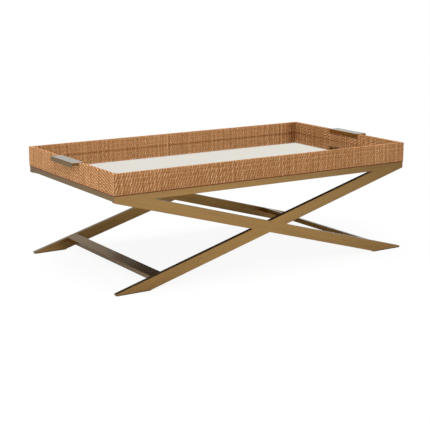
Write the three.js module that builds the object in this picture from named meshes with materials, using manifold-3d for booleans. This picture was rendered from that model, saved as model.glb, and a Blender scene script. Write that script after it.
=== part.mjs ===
// Tray table: a woven tray with a mirror floor and two bent plate handles, resting on a
// welded base of rectangular tube. The base has a crossed frame at the front and one at the
// back, two end rails at the top and two stretchers near the floor.
// Millimetres, +Z up, +X along the table, -Y at the front. The origin is on the floor in
// the middle of the table.
import * as THREE from 'three';
import { mergeVertices } from 'three/addons/utils/BufferGeometryUtils.js';
import Module from 'manifold-3d';

const wasm = await Module();
wasm.setup();

// Overall sizes
const trayLength = 1372;
const trayWidth = 762;
const frameHeight = 373;
const wallHeight = 80;

// Base sizes
const frameInset = 2;
const tubeDepth = 20;
const tubeWall = 2;
const railHeight = 25;
const endRailWidth = 20;
const endRailHeight = 21;
const legWidth = 44;
const toeHeight = 4.5;
const toeSolid = 20;
const stretcherInset = 153;
const stretcherWidth = 44;
const stretcherThickness = 20;
const capThickness = 2;
const glideThickness = 3;
const glideMargin = 1;

// Tray sizes
const boardThickness = 15;
const weaveThickness = 2;
const panelThickness = 12;
const panelRise = 14;
const grooveDepth = 5;
const mirrorThickness = 4;
const dowelRadius = 4;
const dowelLength = 30;
const dowelInBoard = 10;
const padLength = 40;
const padWidth = 12;
const padThickness = 3;
const padCornerDistance = 70;

// Handle sizes
const handleLength = 194;
const handlePlate = 3;
const handleDrop = 18;
const fingerGap = 26;
const bendRadius = 4;
const screwEndDistance = 27;
const screwCount = 3;
const screwLength = 16;
const screwRadius = 1.75;
const screwHeadRadius = 3.5;
const screwHeadDepth = 1.8;

// Clearances, and how far a cut runs past the solid that it cuts
const weldGap = 0.3;
const mitreGap = 0.3;
const fitGap = 0.3;
const mirrorGap = 0.5;
const overrun = 5;

// Round pieces are drawn with this many sides
const roundSides = 16;
const bendSteps = 4;

// Places worked out from the sizes above
const halfLength = trayLength / 2;
const halfWidth = trayWidth / 2;
const frameEnd = halfLength - frameInset;
const frameFront = halfWidth - frameInset;
const frameInner = frameFront - tubeDepth;
const railBottom = frameHeight - railHeight;
const trayBottom = frameHeight + padThickness;
const rimHeight = trayBottom + wallHeight;
const boardTop = rimHeight - weaveThickness;
const boardOuterX = halfLength - weaveThickness;
const boardOuterY = halfWidth - weaveThickness;
const boardInnerX = boardOuterX - boardThickness;
const boardInnerY = boardOuterY - boardThickness;
const wallInnerX = boardInnerX - weaveThickness;
const wallInnerY = boardInnerY - weaveThickness;
const panelBottom = trayBottom + panelRise;
const panelTop = panelBottom + panelThickness;
const handleInnerX = wallInnerX - handlePlate;
const handleOuterX = halfLength + fingerGap + handlePlate;
const handleTop = boardTop + handlePlate;

// The crossed legs: the lower edge starts in the rail's lower corner at one end, and the
// upper edge reaches the other end of the frame at the height of the toe
const legRun = 2 * frameEnd;
const legRise = railBottom - glideThickness - toeHeight;
const legDiagonal = Math.sqrt(legRun ** 2 + legRise ** 2 - legWidth ** 2);
const legSlope = (legRun * legRise + legWidth * legDiagonal) / (legRun ** 2 - legWidth ** 2);
const legAngle = Math.atan(legSlope);
const heelX = (railBottom - glideThickness) / legSlope - frameEnd;
const legUpright = legWidth / Math.cos(legAngle);
const legCut = legWidth / Math.sin(legAngle);
const wallUpright = tubeWall / Math.cos(legAngle);
const gapUpright = weldGap / Math.cos(legAngle);

// Materials, one for each mesh
function brass(roughness) {
  return new THREE.MeshStandardMaterial({ color: 0x9c7d4b, roughness, metalness: 1 });
}

function wood() {
  return new THREE.MeshStandardMaterial({ color: 0x8a6440, roughness: 0.7, metalness: 0 });
}

function woven() {
  return new THREE.MeshStandardMaterial({ color: 0xb9875f, roughness: 0.8, metalness: 0 });
}

function mirrorGlass() {
  return new THREE.MeshStandardMaterial({ color: 0xe4dfd4, roughness: 0.04, metalness: 1 });
}

function darkPad(color) {
  return new THREE.MeshStandardMaterial({ color, roughness: 0.9, metalness: 0 });
}

// Solids: a closed geometry becomes a solid that can be cut, and a solid a geometry again
function toSolid(geometry) {
  const bare = geometry.clone();
  bare.deleteAttribute('normal');
  bare.deleteAttribute('uv');
  const merged = mergeVertices(bare);
  const vertProperties = new Float32Array(merged.attributes.position.array);
  const triVerts = new Uint32Array(merged.index.array);
  return new wasm.Manifold(new wasm.Mesh({ numProp: 3, vertProperties, triVerts }));
}

function toGeometry(solid) {
  const mesh = solid.getMesh();
  const geometry = new THREE.BufferGeometry();
  geometry.setAttribute('position', new THREE.BufferAttribute(mesh.vertProperties, 3));
  geometry.setIndex(new THREE.BufferAttribute(mesh.triVerts, 1));
  geometry.computeVertexNormals();
  return geometry;
}

function cutAll(solid, cutters) {
  return cutters.reduce((rest, cutter) => rest.subtract(cutter), solid);
}

function outline(points) {
  return new THREE.Shape(points.map(([x, y]) => new THREE.Vector2(x, y)));
}

// A box from its lowest to its highest corner
function boxBetween(low, high) {
  const geometry = new THREE.BoxGeometry(high[0] - low[0], high[1] - low[1], high[2] - low[2]);
  geometry.translate((low[0] + high[0]) / 2, (low[1] + high[1]) / 2, (low[2] + high[2]) / 2);
  return geometry;
}

// An outline drawn in X and Z, pulled along Y from one value to another
function alongY(shape, fromY, toY) {
  const geometry = new THREE.ExtrudeGeometry(shape, { depth: toY - fromY, bevelEnabled: false });
  const turn = new THREE.Matrix4().makeBasis(
    new THREE.Vector3(1, 0, 0),
    new THREE.Vector3(0, 0, 1),
    new THREE.Vector3(0, -1, 0),
  );
  geometry.applyMatrix4(turn);
  geometry.translate(0, toY, 0);
  return geometry;
}

// An outline drawn in Y and Z, pulled along X from one value to another
function alongX(shape, fromX, toX) {
  const geometry = new THREE.ExtrudeGeometry(shape, { depth: toX - fromX, bevelEnabled: false });
  const turn = new THREE.Matrix4().makeBasis(
    new THREE.Vector3(0, 1, 0),
    new THREE.Vector3(0, 0, 1),
    new THREE.Vector3(1, 0, 0),
  );
  geometry.applyMatrix4(turn);
  geometry.translate(fromX, 0, 0);
  return geometry;
}

// An outline drawn in X and Y, pulled up from one height to another
function upright(shape, fromZ, toZ) {
  const geometry = new THREE.ExtrudeGeometry(shape, { depth: toZ - fromZ, bevelEnabled: false });
  geometry.translate(0, 0, fromZ);
  return geometry;
}

// A rectangle with a smaller one inside it, the section of a tube
function tubeSection(width, height) {
  const shape = outline([[0, 0], [width, 0], [width, height], [0, height]]);
  const right = width - tubeWall;
  const top = height - tubeWall;
  shape.holes.push(outline([[tubeWall, tubeWall], [tubeWall, top], [right, top], [right, tubeWall]]));
  return shape;
}

const table = new THREE.Group();
const base = new THREE.Group();
const tray = new THREE.Group();
table.add(base);
table.add(tray);

function ordered(first, second) {
  return [Math.min(first, second), Math.max(first, second)];
}

function place(group, name, geometry, material, position = [0, 0, 0]) {
  const mesh = new THREE.Mesh(geometry, material);
  mesh.name = name;
  mesh.position.set(...position);
  group.add(mesh);
}

// The four corners of the table, and its two ends
const corners = [
  { name: 'front_left', sideX: -1, sideY: -1 },
  { name: 'front_right', sideX: 1, sideY: -1 },
  { name: 'rear_left', sideX: -1, sideY: 1 },
  { name: 'rear_right', sideX: 1, sideY: 1 },
];
const ends = [['left', -1], ['right', 1]];

// Long top rails of the crossed frames, closed by a cap at each end
function addLongRails() {
  const reach = frameEnd - capThickness;
  const rail = alongX(tubeSection(tubeDepth, railHeight), -reach, reach);
  place(base, 'front_top_rail', rail, brass(0.3), [0, -frameFront, railBottom]);
  place(base, 'rear_top_rail', rail.clone(), brass(0.3), [0, frameInner, railBottom]);
  const cap = boxBetween([0, 0, 0], [capThickness, tubeDepth, railHeight]);
  for (const { name, sideX, sideY } of corners) {
    const x = sideX < 0 ? -frameEnd : reach;
    const y = sideY < 0 ? -frameFront : frameInner;
    place(base, `${name}_rail_cap`, cap.clone(), brass(0.3), [x, y, railBottom]);
  }
}

// End rails between the two crossed frames, flush with their tops and ends
function addEndRails() {
  const section = tubeSection(endRailWidth, endRailHeight);
  const rail = alongY(section, -frameInner, frameInner);
  const bottom = frameHeight - endRailHeight;
  place(base, 'left_end_rail', rail, brass(0.3), [-frameEnd, 0, bottom]);
  place(base, 'right_end_rail', rail.clone(), brass(0.3), [frameEnd - endRailWidth, 0, bottom]);
}

// A point of the leg that falls towards +X: rise is the height above its lower edge
function legPoint(x, rise) {
  return [x, glideThickness + (heelX - x) * legSlope + rise];
}

function legPointAtHeight(z, rise) {
  return [heelX - (z - glideThickness - rise) / legSlope, z];
}

// An outline drawn for the +X side, or its mirror image on the -X side, which is turned
// round so that it still runs the same way
function onSide(points, side) {
  return side > 0 ? points : points.map(([x, z]) => [-x, z]).reverse();
}

// The foot end of a leg: flat on its glide, with the toe cut upright at the frame's end
const footPoints = [[heelX, glideThickness], [frameEnd, glideThickness], legPoint(frameEnd, legUpright)];
const footHollow = [
  legPointAtHeight(glideThickness + tubeWall, wallUpright),
  [frameEnd - toeSolid, glideThickness + tubeWall],
  legPoint(frameEnd - toeSolid, legUpright - wallUpright),
];

// The crossing: half widths, along X, of the place that the unbroken leg takes from the other
const crossNear = gapUpright / (2 * legSlope);
const crossFar = (legUpright + gapUpright) / (2 * legSlope);

const legOutlines = {
  whole: [[-frameEnd, railBottom], ...footPoints, [legCut - frameEnd, railBottom]],
  upper: [
    [-frameEnd, railBottom],
    legPoint(-crossFar, 0),
    legPoint(-crossNear, legUpright),
    [legCut - frameEnd, railBottom],
  ],
  lower: [legPoint(crossNear, 0), ...footPoints, legPoint(crossFar, legUpright)],
};

const hollowTop = [
  legPointAtHeight(railBottom + overrun, legUpright - wallUpright),
  legPointAtHeight(railBottom + overrun, wallUpright),
];

const legHollows = {
  whole: [...footHollow, ...hollowTop],
  upper: [legPoint(overrun, wallUpright), legPoint(overrun, legUpright - wallUpright), ...hollowTop],
  lower: [...footHollow, legPoint(-overrun, legUpright - wallUpright), legPoint(-overrun, wallUpright)],
};

// A leg piece of rectangular tube: open at its top and at the crossing, closed at its foot
function legPiece(kind, side) {
  const body = toSolid(alongY(outline(onSide(legOutlines[kind], side)), 0, tubeDepth));
  const hollowShape = outline(onSide(legHollows[kind], side));
  const hollow = toSolid(alongY(hollowShape, tubeWall, tubeDepth - tubeWall));
  return toGeometry(body.subtract(hollow));
}

// Each crossed frame has one unbroken leg, and the other is two halves welded to its sides
function addLegs() {
  const frames = [
    { end: 'front', y: -frameFront, side: 1 },
    { end: 'rear', y: frameInner, side: -1 },
  ];
  for (const { end, y, side } of frames) {
    place(base, `${end}_leg_whole`, legPiece('whole', side), brass(0.3), [0, y, 0]);
    place(base, `${end}_leg_upper_half`, legPiece('upper', -side), brass(0.3), [0, y, 0]);
    place(base, `${end}_leg_lower_half`, legPiece('lower', -side), brass(0.3), [0, y, 0]);
  }
}

// Stretchers lie in the slope of the legs, their wide faces level with the legs' tops
function addStretchers() {
  const edgeX = frameEnd - stretcherInset;
  const [startX, startZ] = legPoint(edgeX, legUpright);
  const along = [-Math.cos(legAngle), Math.sin(legAngle)];
  const inward = [-Math.sin(legAngle), -Math.cos(legAngle)];
  const corner = (run, sink) => [
    startX + along[0] * run + inward[0] * sink,
    startZ + along[1] * run + inward[1] * sink,
  ];
  const ring = (margin) => {
    const run = stretcherWidth - margin;
    const sink = stretcherThickness - margin;
    return [corner(margin, margin), corner(run, margin), corner(run, sink), corner(margin, sink)];
  };
  for (const [name, side] of ends) {
    const section = outline(onSide(ring(0), side));
    section.holes.push(outline(onSide(ring(tubeWall), side)));
    place(base, `${name}_stretcher`, alongY(section, -frameInner, frameInner), brass(0.35));
  }
}

// A thin glide under each foot
function addGlides() {
  const low = [heelX + glideMargin, glideMargin, 0];
  const high = [frameEnd - glideMargin, tubeDepth - glideMargin, glideThickness];
  for (const { name, sideX, sideY } of corners) {
    const x = sideX < 0 ? -high[0] : low[0];
    const y = sideY < 0 ? -frameFront : frameInner;
    const glide = boxBetween([0, low[1], low[2]], [high[0] - low[0], high[1], high[2]]);
    place(base, `${name}_foot_glide`, glide, darkPad(0x2b2420), [x, y, 0]);
  }
}

// Dowels that hold the tray's corners: two at each, below and above the bottom panel
const dowelHeights = [
  ['lower', (trayBottom + panelBottom) / 2],
  ['upper', (panelTop + boardTop) / 2],
];
const dowelX = boardOuterX - boardThickness / 2;
const dowelMiddleY = boardInnerY + dowelInBoard - dowelLength / 2;

function dowels(clearance) {
  const list = [];
  const radius = dowelRadius + clearance;
  for (const { name, sideX, sideY } of corners) {
    for (const [level, z] of dowelHeights) {
      const pin = new THREE.CylinderGeometry(radius, radius, dowelLength + 2 * clearance, roundSides);
      pin.translate(sideX * dowelX, sideY * dowelMiddleY, z);
      list.push({ name: `${name}_${level}_dowel`, geometry: pin });
    }
  }
  return list;
}

// Handle screws: countersunk, through the handle's inner side into the end boards. The
// profiles run from the head's face to the tip.
const screwProfile = [
  [0, 0],
  [screwHeadRadius, 0],
  [screwRadius, screwHeadDepth],
  [screwRadius, screwLength],
  [0, screwLength],
];
const screwHoleProfile = [
  [0, -overrun],
  [screwHeadRadius + fitGap, -overrun],
  [screwHeadRadius + fitGap, 0],
  [screwRadius + fitGap, screwHeadDepth],
  [screwRadius + fitGap, screwLength + fitGap],
  [0, screwLength + fitGap],
];

// One turned shape for each screw of a handle, lying along X with its tip outwards
function atHandleScrews(profile, side) {
  const points = profile.map(([radius, along]) => new THREE.Vector2(radius, along));
  const turn = new THREE.Matrix4().makeBasis(
    new THREE.Vector3(0, 0, side),
    new THREE.Vector3(side, 0, 0),
    new THREE.Vector3(0, 1, 0),
  );
  const z = handleTop - (handleDrop + handlePlate) / 2;
  const firstY = screwEndDistance - handleLength / 2;
  const pitch = (-2 * firstY) / (screwCount - 1);
  const list = [];
  for (let index = 0; index < screwCount; index += 1) {
    const turned = new THREE.LatheGeometry(points, roundSides);
    const y = firstY + index * pitch;
    turned.applyMatrix4(turn);
    turned.translate(side * handleInnerX, y, z);
    list.push(turned);
  }
  return list;
}

const dowelHoles = dowels(fitGap).map(({ geometry }) => toSolid(geometry));
const screwHoles = {
  left: atHandleScrews(screwHoleProfile, -1).map(toSolid),
  right: atHandleScrews(screwHoleProfile, 1).map(toSolid),
};

// The bottom panel's groove in all four boards, and the panel that slides into it
const grooveReachX = boardInnerX + grooveDepth;
const grooveReachY = boardInnerY + grooveDepth;

function addBoards() {
  const groove = toSolid(
    boxBetween([-grooveReachX, -grooveReachY, panelBottom], [grooveReachX, grooveReachY, panelTop]),
  );
  for (const [name, fromY, toY] of [
    ['front_wall_board', -boardOuterY, -boardInnerY],
    ['rear_wall_board', boardInnerY, boardOuterY],
  ]) {
    const board = toSolid(boxBetween([-boardOuterX, fromY, trayBottom], [boardOuterX, toY, boardTop]));
    place(tray, name, toGeometry(cutAll(board, [groove, ...dowelHoles])), wood());
  }
  for (const [name, side] of ends) {
    const [fromX, toX] = ordered(side * boardOuterX, side * boardInnerX);
    const low = [fromX, -boardInnerY, trayBottom];
    const board = toSolid(boxBetween(low, [toX, boardInnerY, boardTop]));
    const cutters = [groove, ...dowelHoles, ...screwHoles[name]];
    place(tray, `${name}_wall_board`, toGeometry(cutAll(board, cutters)), wood());
  }
}

function addDowels() {
  for (const { name, geometry } of dowels(0)) {
    place(tray, name, geometry, wood());
  }
}

function addFloor() {
  const reachX = grooveReachX - fitGap;
  const reachY = grooveReachY - fitGap;
  const panel = boxBetween([-reachX, -reachY, panelBottom], [reachX, reachY, panelTop]);
  place(tray, 'tray_bottom_panel', panel, wood());
  const glassX = wallInnerX - mirrorGap;
  const glassY = wallInnerY - mirrorGap;
  const glass = boxBetween([-glassX, -glassY, 0], [glassX, glassY, mirrorThickness]);
  place(tray, 'mirror_panel', glass, mirrorGlass(), [0, 0, panelTop]);
}

// The woven wrap goes up the outside of a wall, over the rim and down to the bottom panel.
// The section is drawn from the wall's outer face inwards.
function wrapSection(outer, inner, sign) {
  const out = outer - weaveThickness;
  const into = inner + weaveThickness;
  const points = [
    [outer, trayBottom],
    [outer, rimHeight],
    [inner, rimHeight],
    [inner, panelTop],
    [into, panelTop],
    [into, boardTop],
    [out, boardTop],
    [out, trayBottom],
  ];
  return outline(points.map(([across, z]) => [sign * across, z]));
}

// The mitred plan of one wall, which trims the wrap's ends to the corners
function mitredPlan(sign, lengthwise) {
  const back = mitreGap / Math.SQRT2;
  const [outerRun, innerRun] = lengthwise ? [halfLength, wallInnerX] : [halfWidth, wallInnerY];
  const [outer, inner] = lengthwise ? [halfWidth, wallInnerY] : [halfLength, wallInnerX];
  const plan = [
    [-outerRun + back, sign * outer],
    [outerRun - back, sign * outer],
    [innerRun - back, sign * inner],
    [-innerRun + back, sign * inner],
  ];
  const turned = lengthwise ? plan : plan.map(([run, across]) => [across, run]);
  return toSolid(upright(outline(turned), trayBottom - overrun, rimHeight + overrun));
}

function addWraps() {
  for (const [name, sign] of [['front_woven_wrap', -1], ['rear_woven_wrap', 1]]) {
    const strip = toSolid(alongX(wrapSection(halfWidth, wallInnerY, sign), -halfLength, halfLength));
    place(tray, name, toGeometry(strip.intersect(mitredPlan(sign, true))), woven());
  }
  const seatHalf = handleLength / 2 + fitGap;
  for (const [name, side] of ends) {
    const strip = toSolid(alongY(wrapSection(halfLength, wallInnerX, side), -halfWidth, halfWidth));
    const mitred = strip.intersect(mitredPlan(side, false));
    const [fromX, toX] = ordered(side * (wallInnerX - overrun), side * (halfLength + overrun));
    const low = [fromX, -seatHalf, boardTop];
    const seat = toSolid(boxBetween(low, [toX, seatHalf, rimHeight + overrun]));
    const cutters = [seat, ...screwHoles[name]];
    place(tray, `${name}_woven_wrap`, toGeometry(cutAll(mitred, cutters)), woven());
  }
}

// Each handle is one plate bent twice: down inside the wall, and down outside it past a
// gap for the fingers
function handleShape(side) {
  const top = handleTop;
  const bottom = handleTop - handleDrop;
  const shape = new THREE.Shape();
  const innerBend = bendRadius - handlePlate;
  shape.moveTo(handleInnerX, bottom);
  shape.lineTo(handleInnerX, top - bendRadius);
  shape.absarc(handleInnerX + bendRadius, top - bendRadius, bendRadius, Math.PI, Math.PI / 2, true);
  shape.lineTo(handleOuterX - bendRadius, top);
  shape.absarc(handleOuterX - bendRadius, top - bendRadius, bendRadius, Math.PI / 2, 0, true);
  shape.lineTo(handleOuterX, bottom);
  shape.lineTo(handleOuterX - handlePlate, bottom);
  shape.lineTo(handleOuterX - handlePlate, top - bendRadius);
  shape.absarc(handleOuterX - bendRadius, top - bendRadius, innerBend, 0, Math.PI / 2, false);
  shape.lineTo(wallInnerX, top - handlePlate);
  shape.lineTo(wallInnerX, bottom);
  const points = shape.getPoints(bendSteps).map((point) => [point.x, point.y]);
  return outline(onSide(points, side));
}

function addHandles() {
  for (const [name, side] of ends) {
    const plate = toSolid(alongY(handleShape(side), -handleLength / 2, handleLength / 2));
    place(tray, `${name}_handle`, toGeometry(cutAll(plate, screwHoles[name])), brass(0.25));
    atHandleScrews(screwProfile, side).forEach((screw, index) => {
      place(tray, `${name}_handle_screw_${index + 1}`, screw, brass(0.3));
    });
  }
}

// Felt pads under the tray's walls, which stand on the base's rails: two near each corner
function addPads() {
  const acrossX = boardOuterX - boardThickness / 2;
  const acrossY = boardOuterY - boardThickness / 2;
  const wallPad = new THREE.BoxGeometry(padLength, padWidth, padThickness);
  const endPad = new THREE.BoxGeometry(padWidth, padLength, padThickness);
  const z = frameHeight + padThickness / 2;
  for (const { name, sideX, sideY } of corners) {
    const wallPlace = [sideX * (boardOuterX - padCornerDistance), sideY * acrossY, z];
    const endPlace = [sideX * acrossX, sideY * (boardOuterY - padCornerDistance), z];
    place(tray, `${name}_wall_pad`, wallPad.clone(), darkPad(0x5a3b22), wallPlace);
    place(tray, `${name}_end_pad`, endPad.clone(), darkPad(0x5a3b22), endPlace);
  }
}

addLongRails();
addEndRails();
addLegs();
addStretchers();
addGlides();
addBoards();
addDowels();
addFloor();
addWraps();
addHandles();
addPads();

export default table;
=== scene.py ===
import math

import bmesh
import bpy
import numpy as np
from mathutils import Matrix, Quaternion, Vector


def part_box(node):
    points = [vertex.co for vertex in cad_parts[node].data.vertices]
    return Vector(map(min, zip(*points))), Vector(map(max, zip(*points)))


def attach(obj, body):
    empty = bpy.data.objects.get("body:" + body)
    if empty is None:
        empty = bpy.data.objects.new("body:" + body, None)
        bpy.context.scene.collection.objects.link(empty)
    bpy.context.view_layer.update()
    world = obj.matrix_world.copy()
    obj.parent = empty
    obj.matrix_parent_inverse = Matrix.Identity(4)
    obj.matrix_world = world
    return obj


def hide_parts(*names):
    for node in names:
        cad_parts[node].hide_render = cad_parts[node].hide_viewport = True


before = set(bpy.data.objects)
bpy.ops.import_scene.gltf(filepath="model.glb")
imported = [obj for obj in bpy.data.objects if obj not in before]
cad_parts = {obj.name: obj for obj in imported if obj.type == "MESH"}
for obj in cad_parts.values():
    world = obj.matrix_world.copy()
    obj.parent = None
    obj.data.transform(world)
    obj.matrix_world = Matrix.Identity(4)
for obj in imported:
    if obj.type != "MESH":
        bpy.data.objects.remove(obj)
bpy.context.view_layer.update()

print("frame loaded:", len(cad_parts), "nodes")


def addObject(name, data):
    made = bpy.data.objects.new(name, data)
    bpy.context.scene.collection.objects.link(made)
    return made


# Camera, fitted to the corners of the table in the photograph

cameraLook = {
    "place": (-2.5032, -3.9131, 1.1917),
    "yaw": 32.443,  # degrees to the right of +Y
    "pitch": 12.603,  # degrees down
    "roll": -0.053,
    "focalPixels": 1125.1,
    "imagePixels": 430,
    "sensorWidth": 36,  # millimetres
    "farthest": 100,
}


def addCamera(look):
    data = bpy.data.cameras.new("camera")
    data.sensor_width = look["sensorWidth"]
    data.lens = look["sensorWidth"] * look["focalPixels"] / look["imagePixels"]
    data.clip_end = look["farthest"]
    camera = addObject("camera", data)
    yaw, pitch = math.radians(look["yaw"]), math.radians(look["pitch"])
    level = math.cos(pitch)
    ahead = Vector((math.sin(yaw) * level, math.cos(yaw) * level, -math.sin(pitch)))
    turn = ahead.to_track_quat("-Z", "Y") @ Quaternion((0, 0, 1), math.radians(look["roll"]))
    camera.location = look["place"]
    camera.rotation_euler = turn.to_euler()
    bpy.context.scene.camera = camera


addCamera(cameraLook)


# Node helpers

def newMaterial(name):
    material = bpy.data.materials.new(name)
    material.use_nodes = True
    material.node_tree.nodes.clear()
    return material, material.node_tree


def addNode(tree, kind, **settings):
    node = tree.nodes.new(kind)
    for key, value in settings.items():
        setattr(node, key, value)
    return node


def feed(socket, value):
    # a socket takes another node's output or a plain value
    if isinstance(value, bpy.types.NodeSocket):
        socket.id_data.links.new(value, socket)
    else:
        socket.default_value = value


def setInputs(node, **values):
    for key, value in values.items():
        feed(node.inputs[key.replace("_", " ")], value)
    return node


def colour(red, green, blue):
    # from the 0 to 255 values of a picture to the linear values of a shader
    def linear(value):
        share = value / 255
        return share / 12.92 if share <= 0.04045 else ((share + 0.055) / 1.055) ** 2.4
    return (linear(red), linear(green), linear(blue), 1)


def grey(share):
    return (share, share, share, 1)


def addRamp(tree, stops, source):
    ramp = setInputs(addNode(tree, "ShaderNodeValToRGB"), Fac=source)
    elements = ramp.color_ramp.elements
    while len(elements) < len(stops):
        elements.new(0.5)
    for element, (place, shade) in zip(elements, stops):
        element.position = place
        element.color = shade
    return ramp.outputs["Color"]


def addMix(tree, amount, first, second):
    mix = addNode(tree, "ShaderNodeMix", data_type="RGBA")
    return setInputs(mix, Factor=amount, A=first, B=second).outputs["Result"]


def addMath(tree, operation, *values, clamp=False):
    node = addNode(tree, "ShaderNodeMath", operation=operation, use_clamp=clamp)
    for socket, value in zip(node.inputs, values):
        feed(socket, value)
    return node.outputs["Value"]


def multiply(tree, first, second):
    return addMath(tree, "MULTIPLY", first, second)


def addVectorMath(tree, operation, *values):
    node = addNode(tree, "ShaderNodeVectorMath", operation=operation)
    for socket, value in zip(node.inputs, values):
        feed(socket, value)
    return node


def addRange(tree, source, fromLow, fromHigh, toLow, toHigh):
    node = setInputs(addNode(tree, "ShaderNodeMapRange"), Value=source, From_Min=fromLow, From_Max=fromHigh)
    return setInputs(node, To_Min=toLow, To_Max=toHigh).outputs["Result"]


def addNoise(tree, vector, **values):
    return setInputs(addNode(tree, "ShaderNodeTexNoise"), Vector=vector, **values).outputs["Fac"]


def newGroup(name, inputs, outputs):
    # inputs are numbers, apart from the one that is named Vector
    group = bpy.data.node_groups.new(name, "ShaderNodeTree")
    for direction, sockets in (("INPUT", inputs), ("OUTPUT", outputs)):
        for socketName in sockets:
            kind = "NodeSocketVector" if socketName == "Vector" else "NodeSocketFloat"
            group.interface.new_socket(name=socketName, in_out=direction, socket_type=kind)
    return group, addNode(group, "NodeGroupInput"), addNode(group, "NodeGroupOutput")


def useGroup(tree, group, vector, **values):
    return setInputs(addNode(tree, "ShaderNodeGroup", node_tree=group), Vector=vector, **values)


# Shader groups that several materials share

fibreTexture = {
    "fine": {"Scale": 1, "Detail": 3, "Roughness": 0.6},
    "coarse": {"Scale": 0.31, "Detail": 1, "Roughness": 0.5},
    "mask": (0.36, 0.64),
}


def makeFibreGroup(look):
    # long thin fibres: Vector holds metres across in X and metres along in Y,
    # and Across and Along are numbers of fibres per metre
    group, start, end = newGroup("fibres", ["Vector", "Across", "Along"], ["Mask", "Height"])
    across, along = start.outputs["Across"], start.outputs["Along"]
    scale = setInputs(addNode(group, "ShaderNodeCombineXYZ"), X=across, Y=along, Z=along)
    stretched = addVectorMath(group, "MULTIPLY", start.outputs["Vector"], scale.outputs["Vector"])
    fine = addNoise(group, stretched.outputs["Vector"], **look["fine"])
    coarse = addNoise(group, stretched.outputs["Vector"], **look["coarse"])
    mean = multiply(group, addMath(group, "ADD", fine, coarse), 0.5)
    setInputs(end, Mask=addRange(group, mean, *look["mask"], 0, 1), Height=fine)
    return group


cloudTexture = {"noise": {"Detail": 4, "Roughness": 0.55, "Distortion": 0.4}, "mask": (0.32, 0.68)}


def makeCloudGroup(look):
    # soft patches of tone over a whole piece
    group, start, end = newGroup("clouds", ["Vector", "Scale"], ["Mask"])
    noise = addNoise(group, start.outputs["Vector"], Scale=start.outputs["Scale"], **look["noise"])
    setInputs(end, Mask=addRange(group, noise, *look["mask"], 0, 1))
    return group


fibres = makeFibreGroup(fibreTexture)
clouds = makeCloudGroup(cloudTexture)


# Materials: a "bump" is a strength and a depth in metres, a "roughness" its lowest and highest value

def objectPoints(tree):
    return addNode(tree, "ShaderNodeTexCoord").outputs["Object"]


def namedMap(tree, name):
    return addNode(tree, "ShaderNodeUVMap", uv_map=name).outputs["UV"]


def addBump(tree, height, strength, distance):
    bump = addNode(tree, "ShaderNodeBump")
    return setInputs(bump, Height=height, Strength=strength, Distance=distance).outputs["Normal"]


def newSurface(name, **values):
    material, tree = newMaterial(name)
    return material, tree, setInputs(addNode(tree, "ShaderNodeBsdfPrincipled"), **values)


def finishMaterial(tree, shader, **sources):
    setInputs(shader, **sources)
    setInputs(addNode(tree, "ShaderNodeOutputMaterial"), Surface=shader.outputs[0])


raffiaLook = {
    "dark": colour(88, 48, 22),
    "middle": colour(182, 127, 77),
    "light": colour(246, 199, 151),
    "shade": colour(132, 84, 45),
    "patchScale": 9,
    "patchAmount": 0.15,
    "fibres": {"Across": 2600, "Along": 70},
    "fibreAmount": 0.3,
    "specular": 0.08,
    "roughness": (0.45, 0.7),
    "bump": (0.35, 0.0003),
}


def makeRaffia(name, look):
    material, tree, shader = newSurface(name, Specular_IOR_Level=look["specular"])
    tone = addNode(tree, "ShaderNodeAttribute", attribute_name="strand")
    parts = setInputs(addNode(tree, "ShaderNodeSeparateColor"), Color=tone.outputs["Color"])
    fibre = useGroup(tree, fibres, namedMap(tree, "fibre"), **look["fibres"])
    patches = useGroup(tree, clouds, objectPoints(tree), Scale=look["patchScale"])
    stops = [(0, look["dark"]), (0.5, look["middle"]), (1, look["light"])]
    base = addRamp(tree, stops, parts.outputs["Red"])
    fibreShade = multiply(tree, fibre.outputs["Mask"], look["fibreAmount"])
    patchShade = multiply(tree, patches.outputs["Mask"], look["patchAmount"])
    streaked = addMix(tree, fibreShade, base, look["shade"])
    finishMaterial(
        tree, shader,
        Base_Color=addMix(tree, patchShade, streaked, look["shade"]),
        Roughness=addRange(tree, fibre.outputs["Mask"], 0, 1, *look["roughness"]),
        Normal=addBump(tree, fibre.outputs["Height"], *look["bump"]),
    )
    return material


brassLook = {
    "face": (0.49, 0.227, 0.020, 1),
    "patina": (0.205, 0.092, 0.005, 1),
    "edgeWearAndHighlight": (0.52, 0.31, 0.10, 1),
    "streaks": {"Across": 110, "Along": 7},
    "streakShare": 0.75,  # the rest of the patina lies in patches
    "patchScale": 14,
    "brush": {"Across": 1800, "Along": 14},
    "brushAmount": 0.25,
    "edgeWearAndHighlightAmount": 0.6,
    "roughness": (0.24, 0.36),
    "bump": (0.12, 0.0002),
    "coat": 0.85,
    "coatRoughness": 0.16,
    "edgeTint": (0.6, 0.78, 1, 1),
}
handledLook = {
    **brassLook,
    "face": (0.46, 0.222, 0.02, 1),
    "patina": (0.35, 0.166, 0.014, 1),
    "roughness": (0.2, 0.3),
    "coatRoughness": 0.13,
}


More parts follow.
